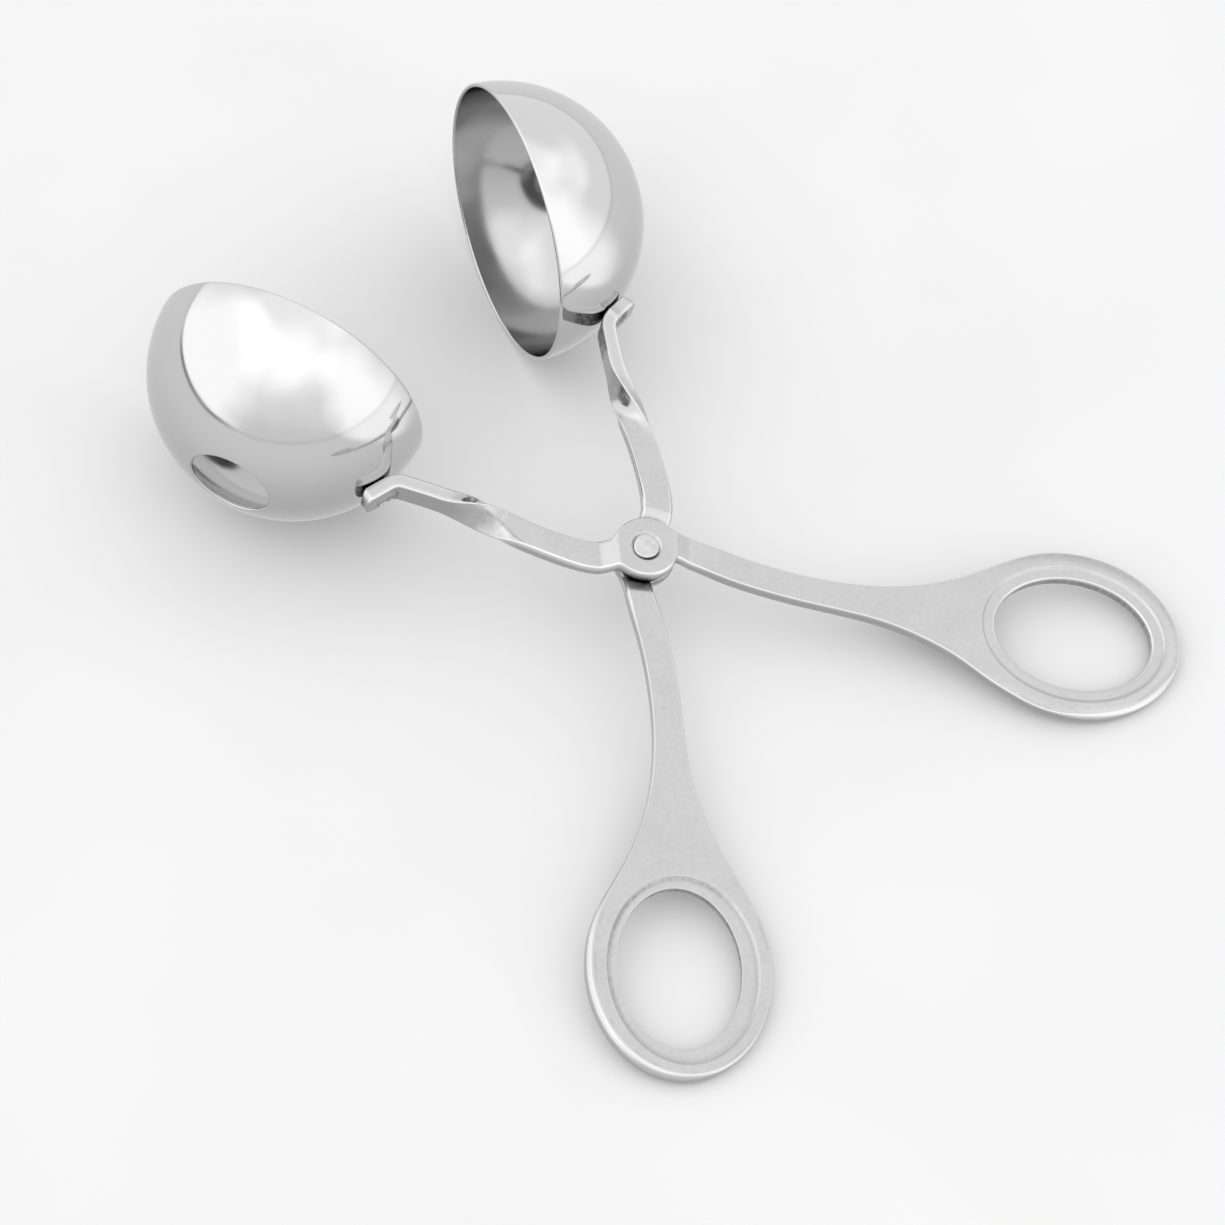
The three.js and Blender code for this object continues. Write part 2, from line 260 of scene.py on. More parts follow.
def formed_strip():
    """The strip as a grid of stations by points round its section: a rounded rectangle whose edges swell to
    the boss's circle, lifted over the joggle, and turned about its middle line in two legs that meet at a
    crease, which walks across the strip; also where its edges are worn, and the film on its faces, which is
    mostly painted shade."""
    stations, to_end = arm_spine()
    middle, width = stations[:, :2], stations[:, 2]
    ahead = np.gradient(middle, axis=0)
    ahead /= np.linalg.norm(ahead, axis=1)[:, None]
    side = np.column_stack([-ahead[:, 1], ahead[:, 0]])
    reach = []
    for sense in (1, -1):
        along = sense * np.einsum("ij,ij->i", middle, side)
        inside = along**2 - np.einsum("ij,ij->i", middle, middle) + BOSS_RADIUS**2
        circle = np.copysign(np.sqrt(np.abs(inside)), inside) - along
        reach.append(width + soft_ramp(circle - width, BOSS_FILLET))
    left, right = (r[:, None] for r in reach)
    to_boss, to_tab = (smooth_step(middle[:, 0], *change) for change in EDGE_CHANGES)
    upper_edge = EDGE_UPPER[0] + (EDGE_UPPER[1] - EDGE_UPPER[0]) * to_boss
    upper_edge = upper_edge + (EDGE_UPPER[2] - EDGE_UPPER[1]) * to_tab
    lap_start, lap_end = (smooth_step(middle[:, 0], *change) for change in LAP_SPAN)
    lower_edge = EDGE_LOWER[0] + (LAP_EDGE - EDGE_LOWER[0]) * lap_start * (1 - lap_end)
    inset, height = rolled_edge(upper_edge, lower_edge)
    above, below = ((left - e[:, None]) * (1 - ACROSS) - (right - e[:, None]) * ACROSS
                    for e in (upper_edge, lower_edge))
    flat = np.full_like(above, STOCK / 2)
    offset = np.concatenate([above, inset - right, below[:, ::-1], (left - inset)[:, ::-1]], axis=1)
    through = np.concatenate([flat, height, -flat, height[:, ::-1]], axis=1)
    into_end = [np.maximum(0, radius - to_end)[:, None] for radius in (EDGE_LOWER[0], TAB_SHEAR)]
    outer_cut, inner_cut = (radius - np.sqrt(radius**2 - into**2)
                            for radius, into in zip((EDGE_LOWER[0], TAB_SHEAR), into_end))
    upper = through / STOCK + 0.5
    through = upper * (STOCK / 2 - outer_cut) + (1 - upper) * (inner_cut - STOCK / 2)
    x = middle[:, :1]
    leg = math.pi / 2 * smooth_step(x, *LEG_TURN)
    heel = math.pi / 2 * smooth_step(x, *HEEL_TURN)
    first, last, near, far = CREASE_WALK
    crease = near + (far - near) * smooth_step(x, first, last)
    soft = UNDERSIDE_SOFTNESS + (CREASE_SOFTNESS - UNDERSIDE_SOFTNESS) * upper
    past = soft_ramp(offset - crease, soft)
    past_middle = soft_ramp(-crease, soft)
    sideways = np.cos(heel) * (offset - past + past_middle) + np.cos(leg) * (past - past_middle)
    upwards = -np.sin(heel) * (offset - past + past_middle) - np.sin(leg) * (past - past_middle)
    roll = heel + (leg - heel) * (1 + (offset - crease) / np.hypot(offset - crease, soft)) / 2
    plan = middle[:, None] + side[:, None] * (sideways + through * np.sin(roll))[..., None]
    lowered = 1
    for angle, start, end in (JAW_RAMP, HANDLE_RAMP):
        ahead_by = plan @ direction(angle)
        fall = soft_ramp(ahead_by - start, FOLD_SOFTNESS) - soft_ramp(ahead_by - end, FOLD_SOFTNESS)
        lowered = lowered * (1 - fall / (end - start))
    from_dent = np.hypot(to_end[:, None] - DENT_PLACE[0], offset - DENT_PLACE[1])
    on_upper, on_lower = upper > 1 - FACE_SHARE, upper < FACE_SHARE
    dent = DENT_DEPTH * (1 - smooth_step(from_dent, DENT_RADIUS - DENT_STEP, DENT_RADIUS)) * on_upper
    rise = BOSS_LIFT * lowered + upwards + through * np.cos(roll)
    plan -= side[:, None] * dent[..., None]
    worn = np.concatenate([0 * ACROSS, SIDE_WORN, 0 * ACROSS, SIDE_WORN[::-1]])
    # painted shade on the lower face round the other arm's boss, where its shadow falls
    by_jaw = smooth_step(plan @ direction(JAW_RAMP[0]), *LAP_SIDES)
    fades = [handle + (jaw - handle) * by_jaw for handle, jaw in zip(*LAP_SHADE_RADII)]
    film = LAP_PAINTED_SHADE * (1 - smooth_step(np.linalg.norm(plan, axis=2), *fades)) * (upper < 0.5)
    # painted shade along the twist's crease
    comes, goes = (smooth_step(x, *change) for change in CREASE_SPAN)
    crease_shade = np.exp(-((offset - crease) / CREASE_SHADE_WIDTH) ** 2) * comes * (1 - goes)
    # painted shade on the slope of the electrode's dent
    dent_slope_shade = np.exp(-((from_dent - DENT_RADIUS + DENT_STEP / 2) / DENT_STEP) ** 2)
    film += (CREASE_PAINTED_SHADE * crease_shade + DENT_PAINTED_SHADE * dent_slope_shade) * on_upper
    # painted dark reflection on the jaw's face to the bowl
    for start, full, share in BOWL_REFLECTION_SHADE:
        film += share * smooth_step(x, start, full) * on_lower
    return np.concatenate([plan, rise[..., None]], axis=2), np.broadcast_to(worn, offset.shape), film


RING_AXES = np.array([direction(RING_TURN), direction(RING_TURN + math.pi / 2)])


def ring_ellipse(half_axes, at, shift=0):
    """Points of an ellipse that lies turned with the finger ring: half axes times cosine and sine."""
    return RING_CENTRE + shift + half_axes * np.column_stack([np.cos(at), np.sin(at)]) @ RING_AXES


def ring_face(edge, at, sense, shift, lip_radius):
    """Rows of one face of the ring, from its outer edge to the wall of the finger hole: a faint crown over to
    the coined land, a soft step down to it, and the rounded lip of the hole."""
    land = FINGER_HOLE + LAND_WIDTH
    brink = ring_ellipse(land + LAND_STEP / 2, at, shift)
    foot = ring_ellipse(land - LAND_STEP / 2, at, shift)
    lip = ring_ellipse(FINGER_HOLE + lip_radius, at)
    level = np.full(len(at), STOCK / 2)
    crown = RING_CROWN * (1 - smooth_step(edge[:, 0], *RING_RUB)) * (sense > 0)
    rows = [(edge + (brink - edge) * t, level - crown * (1 - t) ** 2) for t in FACE_ROWS]
    rows += [(brink + (foot - brink) * t, level - LAND_DEPTH * smooth_step(t, 0, 1)) for t in STEP_ROWS]
    rows += [(foot + (lip - foot) * t, level - LAND_DEPTH) for t in LAND_ROWS]
    rows += [(ring_ellipse(FINGER_HOLE + lip_radius * (1 - math.sin(turn)), at),
              level - LAND_DEPTH - lip_radius * (1 - math.cos(turn)))
             for turn in np.linspace(0, math.pi / 2, LIP_ROWS + 1)[1:]]
    return np.array([np.column_stack([flat, sense * height]) for flat, height in rows])


def ring_film(at, rim, face_rows):
    """Film and painted shade on the ring by row and by turn round the hole: painted shade in the step of the
    land, in patches that are products of sines, below it more on one side of the ring, and along the step's
    foot; real smudges along the outer edge, where a sum of sines is over zero; and painted shade on the
    punched wall."""
    film = np.zeros((2 * face_rows + 1, len(at)))
    patches = 0.7 + 0.3 * np.sin(3 * at + 1) * np.sin(2 * at)
    # painted shade in the land's step; below, it is darker on the side of the ring turned from the light
    shaded_side = 0.5 + 0.5 * np.cos(at + 0.4)
    step = np.arange(len(FACE_ROWS), len(FACE_ROWS) + len(STEP_ROWS) + STEP_SPILL)
    soft_band = np.sin(np.linspace(*STEP_BAND, len(step)))[:, None]
    film[step] = LAND_PAINTED_SHADE[0] * soft_band * patches
    film[-1 - step] = LAND_PAINTED_SHADE[1] * soft_band * patches * shaded_side
    # painted shade in the corner at the step's foot
    film[-1 - step[-FOOT_ROWS:]] += FOOT_PAINTED_SHADE * patches
    smudges = HAND_FILM * np.clip(np.sin(5 * at + 2) + np.sin(11 * at) + 0.5 * np.sin(29 * at + 1), 0, 1)
    smudges = smudges * (1 - smooth_step(rim[:, 0], *RING_RUB))
    film[:len(SMUDGE_ROWS)] = SMUDGE_ROWS * smudges
    film[-len(SMUDGE_ROWS):] = SMUDGE_ROWS[::-1] * smudges
    # painted shade on the finger hole's wall
    film[face_rows - 1:face_rows + 2] = HOLE_PAINTED_SHADE * (1 + 0.5 * np.sin(37 * at) * np.sin(23 * at + 1))
    return film


def quads(grid):
    """Faces between neighbours on a grid of point numbers."""
    return np.stack([grid[:-1, :-1], grid[:-1, 1:], grid[1:, 1:], grid[1:, :-1]], axis=-1).reshape(-1, 4)


def closed_round(grid):
    """The grid with its first column again after its last."""
    return np.concatenate([grid, grid[:, :1]], axis=1)


def arm_surface():
    """One arm as points, faces, wear, and film that is mostly painted shade. The ring is a grid between its
    outline and its finger hole, and its handle end meets the first section of the strip point for point;
    the bore joins the boss's faces."""
    strip, strip_worn, strip_film = formed_strip()
    faces_wide, side_tall = len(ACROSS), SIDE_POINTS
    top = slice(0, faces_wide)
    right = slice(faces_wide, faces_wide + side_tall)
    bottom = slice(faces_wide + side_tall, 2 * faces_wide + side_tall)
    left = slice(2 * faces_wide + side_tall, None)
    half_way = side_tall // 2
    left_rail = strip[:RAIL_STATIONS, left][:, half_way, :2]
    right_rail = strip[:RAIL_STATIONS, right][:, half_way, :2]
    arc = ring_ellipse(RING_OUTER, np.linspace(*RING_ARC, RING_ARC_POINTS))
    corners = np.concatenate([left_rail[::-1], RING_SHOULDER, arc, RING_THROAT, right_rail])
    run = run_along(corners)
    from_rail, to_rail = run[RAIL_STATIONS - 1] / run[-1], run[-RAIL_STATIONS] / run[-1]
    outline = spline(corners, np.linspace(from_rail, to_rail, RING_SIDES))
    ahead = np.gradient(outline, axis=0)
    inwards = np.column_stack([-ahead[:, 1], ahead[:, 0]]) / np.linalg.norm(ahead, axis=1)[:, None]
    rubbed = 1 - smooth_step(outline[:, 0], *RING_RUB)
    at_end = rubbed * smooth_step(-inwards @ direction(END_BEARING), *END_SPREAD)
    outside = rubbed * smooth_step(inwards[:, 1], -1, 1)
    upper_edge = EDGE_UPPER[0] + (END_EDGE - EDGE_UPPER[0]) * at_end
    lower_edge = EDGE_LOWER[0] + (EDGE_LOWER[1] - EDGE_LOWER[0]) * outside
    faces = []
    for sense, radius, shift, lip, section in ((1, upper_edge, 0, LIPS[0], strip[0, top]),
                                               (-1, lower_edge, LAND_SLIP, LIPS[1], strip[0, bottom][::-1])):
        edge = outline + inwards * radius[:, None]
        edge[0] = section[0, :2]
        edge[-1] = section[-1, :2]
        rim = np.concatenate([edge, section[-2:0:-1, :2]])
        unturned = (rim - RING_CENTRE) @ RING_AXES.T / RING_OUTER
        at = np.arctan2(unturned[:, 1], unturned[:, 0])
        faces.append(ring_face(rim, at, sense, shift, lip))
    upper, lower = faces
    ring = np.concatenate([upper, (upper[-1:] + lower[-1:]) / 2, lower[::-1]])
    inset, height = rolled_edge(upper_edge, lower_edge)
    height = height - RING_CROWN * rubbed[:, None] * np.clip(2 * height / STOCK, 0, 1)
    flat = outline + inwards * inset.T[..., None]
    wall = np.concatenate([flat, height.T[..., None]], axis=2)
    wall[:, 0] = strip[0, left][::-1]
    wall[:, -1] = strip[0, right]

    middle = np.argmin(np.hypot(*strip[:, faces_wide // 2, :2].T))
    spread = np.linalg.norm(strip[middle, top, :2], axis=1)
    ribs = np.flatnonzero(spread < BORE_CLEARING)
    steps = np.flatnonzero(np.hypot(*strip[:, faces_wide // 2, :2].T) < BORE_CLEARING)
    a, b, m, n = steps[0], steps[-1], ribs[0], ribs[-1]
    loop_step = np.concatenate([np.full(n - m, a), np.arange(a, b), np.full(n - m, b), np.arange(b, a, -1)])
    loop_rib = np.concatenate([np.arange(m, n), np.full(b - a, n), np.arange(n, m, -1), np.full(b - a, m)])
    bearing = np.arctan2(*strip[loop_step, loop_rib, 1::-1].T)
    dish = np.array([[SINK_RADIUS + SINK_BREAK[0], 0], [SINK_RADIUS, SINK_BREAK[1]],
                     [SINK_FLOOR + SINK_FILLET[0], SINK_DEPTH - SINK_FILLET[1]], [SINK_FLOOR, SINK_DEPTH],
                     [RIVET_BORE, SINK_DEPTH], [RIVET_BORE, STOCK],
                     [RIVET_BORE + BORE_LEDGE, STOCK]])  # radius, and depth under the upper face
    radius = dish[:, :1]
    level = BOSS_LIFT + STOCK / 2 - dish[:, 1:]
    bore = np.stack([radius * np.cos(bearing), radius * np.sin(bearing), level + 0 * bearing], axis=2)

    parts = [ring, wall, strip[1:], bore]
    points = np.concatenate([part.reshape(-1, 3) for part in parts])
    starts = np.cumsum([0, *(part.shape[0] * part.shape[1] for part in parts)])
    ring_id, wall_id, strip_id, bore_id = (
        start + np.arange(part.shape[0] * part.shape[1]).reshape(part.shape[:2])
        for start, part in zip(starts, parts))
    cut = np.concatenate([[0], np.arange(len(rim) - 1, len(edge) - 1, -1), [len(edge) - 1]])
    first = np.concatenate([ring_id[0, cut], wall_id[:, -1], ring_id[-1, cut[::-1]], wall_id[::-1, 0]])
    strip_id = np.concatenate([first[None], strip_id])
    outer = np.concatenate([ring_id[-1:, :len(edge)], wall_id[::-1], ring_id[:1, :len(edge)]])
    over = strip_id[loop_step, loop_rib]
    under = strip_id[loop_step, bottom.stop - 1 - loop_rib]
    kept = np.ones((strip_id.shape[0] - 1, strip_id.shape[1]), bool)
    kept[a:b, m:n] = False
    kept[a:b, bottom.stop - 1 - n:bottom.stop - 1 - m] = False
    end = strip_id[-1]
    end_upper = np.concatenate([end[left][half_way + 1:], end[top], end[right][:half_way]])
    end_lower = np.concatenate([end[left][half_way - 1::-1], end[bottom][::-1], end[right][:half_way:-1]])
    faces = np.concatenate([
        quads(closed_round(ring_id)),
        quads(outer),
        quads(closed_round(strip_id))[kept.ravel()],
        quads(closed_round(np.concatenate([over[None], bore_id, under[None]]))),
        quads(np.stack([end_upper, end_lower])),
    ])
    end_corners = [[end[left][half_way], end_upper[0], end_lower[0]],
                   [end[right][half_way], end_lower[-1], end_upper[-1]]]
    worn = np.zeros(len(points))
    worn[wall_id] = SIDE_WORN[:, None]
    lip_rows = np.arange(len(upper) - LIP_ROWS, len(upper) - 1)
    worn[ring_id[lip_rows]] = LIP_WORN
    worn[ring_id[-1 - lip_rows]] = LIP_WORN
    worn[strip_id[1:]] = strip_worn[1:]
    film = np.zeros(len(points))
    film[strip_id[1:]] = strip_film[1:]
    film[ring_id] = ring_film(at, rim, len(upper))
    used = np.zeros(len(points), bool)
    used[faces] = True
    renumbered = np.cumsum(used) - 1
    all_faces = renumbered[faces].tolist() + renumbered[np.array(end_corners)].tolist()
    return points[used], all_faces, worn[used], film[used]


def mesh_object(name, points, faces, material):
    """A smooth mesh object at the origin."""
    mesh = bpy.data.meshes.new(name)
    mesh.from_pydata(points.tolist(), [], faces)
    mesh.polygons.foreach_set("use_smooth", np.ones(len(mesh.polygons), bool))
    mesh.materials.append(material)
    made = bpy.data.objects.new(name, mesh)
    bpy.context.collection.objects.link(made)
    return made


def add_piece(name, points, faces, material, body, slot, **marks):
    """A mesh object that rides on a body and takes a finish, with numbers or vectors kept on its points for
    the material."""
    piece = mesh_object(name, points, faces, material)
    for mark, values in marks.items():
        kind, field = ("FLOAT", "value") if values.ndim == 1 else ("FLOAT_VECTOR", "vector")
        piece.data.attributes.new(mark, kind, "POINT").data.foreach_set(field, values.ravel())
    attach(piece, body)
    return piece


def new_finish(name):
    """A material with only its surface shader and output: its nodes, that shader and the material."""
    finish = bpy.data.materials.new(name)
    finish.use_nodes = True
    return finish.node_tree, finish.node_tree.nodes["Principled BSDF"], finish


def add_node(tree, kind, inputs, **settings):
    """A shader node with its settings; each input takes a number or the output of another node."""
    node = tree.nodes.new("ShaderNode" + kind)
    for setting, value in settings.items():
        setattr(node, setting, value)
    for socket, value in inputs.items():
        if isinstance(value, bpy.types.NodeSocket):
            tree.links.new(value, node.inputs[socket])
        else:
            node.inputs[socket].default_value = value
    return node


def spread_to(tree, value, low, high, out_low, out_high):
    """The value taken from one range of numbers to another, and held at the ends."""
    inputs = {"Value": value, "From Min": low, "From Max": high, "To Min": out_low, "To Max": out_high}
    return add_node(tree, "MapRange", inputs, interpolation_type="SMOOTHSTEP").outputs["Result"]


def noise(tree, place, scale, detail=2.0, roughness=0.5):
    """Blender's noise at a place, about a half on average."""
    inputs = {"Vector": place, "Scale": scale, "Detail": detail, "Roughness": roughness}
    return add_node(tree, "TexNoise", inputs).outputs["Fac"]


DRAWN_OUT = (0.04, 1.0, 1.0)
CREST = 0.08  # from the cut to a full line


def scratches(tree, place, turn, scale, cut):
    """Fine lines one way: noise drawn out along the turned x axis, cut off so that only its crests stay."""
    drawn = add_node(tree, "Mapping", {"Vector": place, "Rotation": turn, "Scale": DRAWN_OUT})
    return spread_to(tree, noise(tree, drawn.outputs["Vector"], scale), cut, cut + CREST, 0.0, 1.0)


def arithmetic(tree, operation, first, second):
    """One step of arithmetic on two values; each is a number or the output of another node."""
    return add_node(tree, "Math", {0: first, 1: second}, operation=operation).outputs[0]


def plus_share(tree, first, second, share):
    """The first value plus a share of the second."""
    return arithmetic(tree, "ADD", first, arithmetic(tree, "MULTIPLY", second, share))


def blended(tree, share, first, second):
    """One colour to another by a share; the first may be the output of another node."""
    if isinstance(first, tuple):
        first = (*first, 1)
    return add_node(tree, "Mix", {0: share, 6: first, 7: (*second, 1)}, data_type="RGBA").outputs[2]


def as_metal(tree, shader, colour, roughness, relief, depth):
    """Gives a shader a metal's colour and roughness, and a relief of a depth in metres."""
    bump = add_node(tree, "Bump", {"Height": relief, "Strength": 1.0, "Distance": depth})
    tree.links.new(colour, shader.inputs["Base Color"])
    tree.links.new(roughness, shader.inputs["Roughness"])
    tree.links.new(bump.outputs["Normal"], shader.inputs["Normal"])
    shader.inputs["Metallic"].default_value = 1.0


# The tumbled finish: noises as scale per metre, detail and roughness, and what is made of them
CLOUDS = (160, 3)
GRAIN = (1400, 6, 0.65)
NOISE_SPAN = (0.3, 0.7)  # most of a noise lies between these
CLOUD_SHARE = 0.35  # of the tone, and the rest is grain
BARREL_LINES = (((0.1, 0.2, 0.5), 3800, 0.66), ((0.0, -0.1, 2.2), 3100, 0.68))  # turn, scale and cut
PITTING = (1700, 2)
PIT_CUT = (0.67, 0.75)
FILM_AND_SHADE_GRAIN = (1100, 5, 0.6)
FILM_AND_SHADE_BREAK = (0.38, 0.64, 0.62, 1.12)  # from and to on the noise, and the share of film and painted shade that it leaves
WORN_STEEL = (0.61, 0.61, 0.61)
WORN_SHARE = 0.75
FILM_AND_SHADE_COLOUR = (0.05, 0.05, 0.05)
FILM_AND_SHADE_COVER = 0.85
GRAIN_ROUGHNESS = (-0.04, 0.05)  # lowest and highest that the grain adds,
WORN_ROUGHNESS = -0.05  # what a worn edge adds,
FILM_AND_SHADE_ROUGHNESS = 0.15  # the film and painted shade
LINE_ROUGHNESS = 0.08  # and the hairlines
LINE_RELIEF = -0.35  # height of the hairlines
PIT_RELIEF = -0.8  # and of the pits, as shares of the grain's
GRAIN_DEPTH = 0.000006


def tumbled_steel(name, dull, bright, rough, marks):
    """Satin stainless from the tumbling barrel: a cloudy tone, a fine grain, crossing hairlines and small
    pits, with the worn edges rubbed bright and a dark film: real in smudges and pits, and painted shade in
    the laps, hollows and creases and where the bowl's dark reflection falls."""
    tree, shader, finish = new_finish(name)
    place = add_node(tree, "TexCoord", {}).outputs["Object"]
    cloud = noise(tree, place, *CLOUDS)
    grain = noise(tree, place, *GRAIN)
    lines = arithmetic(tree, "MAXIMUM", *(scratches(tree, place, *line) for line in BARREL_LINES))
    pits = spread_to(tree, noise(tree, place, *PITTING), *PIT_CUT, 0.0, marks)
    worn = add_node(tree, "Attribute", {}, attribute_name="worn").outputs["Fac"]
    film = add_node(tree, "Attribute", {}, attribute_name="film").outputs["Fac"]
    film = arithmetic(tree, "MULTIPLY", film, spread_to(tree, noise(tree, place, *FILM_AND_SHADE_GRAIN), *FILM_AND_SHADE_BREAK))
    film = arithmetic(tree, "MAXIMUM", film, pits)
    tone = arithmetic(tree, "ADD", spread_to(tree, cloud, *NOISE_SPAN, 0.0, CLOUD_SHARE),
                      spread_to(tree, grain, *NOISE_SPAN, 0.0, 1 - CLOUD_SHARE))
    colour = blended(tree, tone, dull, bright)
    colour = blended(tree, arithmetic(tree, "MULTIPLY", worn, WORN_SHARE), colour, WORN_STEEL)
    # the dark film: real smudges and pits, and painted shade everywhere else
    colour = blended(tree, arithmetic(tree, "MULTIPLY", film, FILM_AND_SHADE_COVER), colour, FILM_AND_SHADE_COLOUR)
    smoothest, roughest = (rough + more for more in GRAIN_ROUGHNESS)
    roughness = spread_to(tree, grain, *NOISE_SPAN, smoothest, roughest)
    for mark, more in ((worn, WORN_ROUGHNESS), (film, FILM_AND_SHADE_ROUGHNESS), (lines, LINE_ROUGHNESS)):
        roughness = plus_share(tree, roughness, mark, more)
    relief = plus_share(tree, plus_share(tree, grain, lines, LINE_RELIEF), pits, PIT_RELIEF)
    as_metal(tree, shader, colour, roughness, relief, GRAIN_DEPTH)
    return finish


arm_points, arm_faces, arm_worn, arm_film = arm_surface()
arm_steel = tumbled_steel("tumbled_arm_steel", dull=(0.41, 0.41, 0.41), bright=(0.455, 0.455, 0.455),
                          rough=0.16, marks=0.12)
for side, turned_over in (("upper", False), ("lower", True)):
    arm = add_piece(side + "_arm_stamping", placed(arm_points, turned_over), arm_faces, arm_steel,
                    side + "_half", "arm_steel", worn=arm_worn, film=arm_film)
    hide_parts(side + "_arm")

# Bowls: two half spheres pressed from thin stainless sheet, pierced at the pole to let air and juice out
# and trimmed just short of the middle so that the rims meet when the tongs close.
# They are mirror-polished outside and softer inside, and each is spot-welded to an arm's tab.
BOWL_SHEET = 0.7
VENT_RADIUS = 7.25
RIM_SETBACK = 0.15
BOWL_SIDES = 240
BOWL_ROWS = 110  # from vent to rim on each face,
BOWL_EDGE_ROWS = 9  # and round each edge
BOWL_RIPPLE = 0.014  # left by the press
POLISH_PITCH = 26  # spread of the polisher's lines over the polar angle
BOWL_HALVES = (("left", "upper", False), ("right", "lower", True))  # bowl, half, and if that is turned over


def full_turn(count):
    """Angles all the way round, without the first one again."""
    return np.linspace(0, 2 * math.pi, count, endpoint=False)


def bowl_surface():
    """Sheet turned about the axis that points away from the other bowl: outer sphere, rim, inner sphere and
    vent edge in one closed profile with half-round edges, times the turn; with a faint ripple on both faces
    of products of sines. Also the share that is inside, and the polisher's path: the turn's cosine and sine,
    and the polar angle."""
    half_sheet = BOWL_SHEET / 2
    mid_radius = BOWL_RADIUS - half_sheet
    vent_at = math.asin(VENT_RADIUS / mid_radius) + half_sheet / mid_radius
    rim_at = math.acos((RIM_SETBACK - BOWL_CENTRE[1]) / mid_radius) - half_sheet / mid_radius
    down = np.linspace(vent_at, rim_at, BOWL_ROWS)
    face = np.ones(BOWL_ROWS)
    lip = np.linspace(0, math.pi, BOWL_EDGE_ROWS + 2)[1:-1]
    polar = np.concatenate([down, np.full(len(lip), rim_at), down[::-1], np.full(len(lip), vent_at)])
    through = half_sheet * np.concatenate([face, np.cos(lip), -face, -np.cos(lip)])
    past = half_sheet * np.concatenate([0 * face, np.sin(lip), 0 * face, -np.sin(lip)])
    polar, turn = np.meshgrid(polar, full_turn(BOWL_SIDES), indexing="ij")
    ripple = np.sin(3 * turn + 5 * polar) * np.sin(7 * polar + 0.6) + 0.6 * np.sin(5 * turn - 9 * polar + 1)
    ripple = ripple + 0.25 * np.sin(13 * turn + 8 * polar) * np.sin(21 * polar - 4 * turn)
    radius = mid_radius + through[:, None] + BOWL_RIPPLE * ripple * np.sin(2 * polar)
    out = radius * np.sin(polar) + past[:, None] * np.cos(polar)
    along = radius * np.cos(polar) - past[:, None] * np.sin(polar)
    x, y, z = BOWL_CENTRE[0] + out * np.sin(turn), BOWL_CENTRE[1] + along, out * np.cos(turn)
    points = np.stack([x, y, z], axis=2)
    numbers = np.arange(points.shape[0] * BOWL_SIDES).reshape(points.shape[:2])
    faces = quads(closed_round(np.concatenate([numbers, numbers[:1]])))
    inside = np.broadcast_to((0.5 - through / BOWL_SHEET)[:, None], polar.shape)
    polish = np.stack([np.cos(turn), np.sin(turn), POLISH_PITCH * polar], axis=2)
    return points.reshape(-1, 3), faces, inside.ravel(), polish.reshape(-1, 3)


# The polished finish
HAZE = (90, 4)
HAZE_ROUGHNESS = (0.35, 0.7, 0.04, 0.08)  # from and to on the noise, and the roughness there
BUFFED_LINES = (9, 5, 0.7)  # noise along the polisher's path
STRAY_LINES = (((0.4, 0.3, 1.1), 2600, 0.70), ((-0.5, 0.8, 0.2), 2200, 0.71))  # turn, scale and cut
OUTSIDE_STEEL = (0.57, 0.57, 0.57)
# painted shade: the inside's colour is darker than the outside's
SHADED_INSIDE_STEEL = (0.42, 0.42, 0.42)
INSIDE_ROUGHNESS = 0.06  # what the inside adds,
BUFFED_ROUGHNESS = 0.04  # the hairlines
STRAY_ROUGHNESS = 0.05  # and the stray ones
BUFFED_RELIEF = (0.5, 2.0)  # height of the hairlines outside and inside, as shares of the stray ones' depth
STRAY_DEPTH = 0.0000012


def polished_steel(name):
    """Buffed sheet: a near mirror with a faint haze in patches, hairlines round the axis and a few stray
    ones; inside the bowl the mirror is softer, and its colour is darker as painted shade of the hollow."""
    tree, shader, finish = new_finish(name)
    place = add_node(tree, "TexCoord", {}).outputs["Object"]
    path = add_node(tree, "Attribute", {}, attribute_name="polish").outputs["Vector"]
    inside = add_node(tree, "Attribute", {}, attribute_name="inside").outputs["Fac"]
    haze = noise(tree, place, *HAZE)
    hairlines = noise(tree, path, *BUFFED_LINES)
    stray = arithmetic(tree, "MAXIMUM", *(scratches(tree, place, *line) for line in STRAY_LINES))
    roughness = spread_to(tree, haze, *HAZE_ROUGHNESS)
    for mark, more in ((inside, INSIDE_ROUGHNESS), (hairlines, BUFFED_ROUGHNESS), (stray, STRAY_ROUGHNESS)):
        roughness = plus_share(tree, roughness, mark, more)
    colour = blended(tree, inside, OUTSIDE_STEEL, SHADED_INSIDE_STEEL)
    combed = arithmetic(tree, "MULTIPLY", hairlines, spread_to(tree, inside, 0.0, 1.0, *BUFFED_RELIEF))
    as_metal(tree, shader, colour, roughness, arithmetic(tree, "SUBTRACT", combed, stray), STRAY_DEPTH)
    return finish


bowl_points, bowl_faces, bowl_inside, bowl_polish = bowl_surface()
bowl_steel = polished_steel("polished_bowl_steel")
for side, half, turned_over in BOWL_HALVES:
    bowl = add_piece(side + "_bowl_shell", placed(bowl_points, turned_over), bowl_faces.tolist(), bowl_steel,
                     half + "_half", "bowl_steel", inside=bowl_inside, polish=bowl_polish)
    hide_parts(side + "_bowl")

# Welds: a spot weld between each tab and its bowl, a squeezed nugget of melted steel about as wide as the
# electrode, left grey and a little uneven where it shows in the gap.
WELD_RADIUS = 1.7
WELD_WAIST = 0.25
WELD_UNEVEN = 0.08
WELD_BITE = (0.2, 0.1)  # how far it reaches into the bowl and into the tab
WELD_ROWS = 13
WELD_SIDES = 64


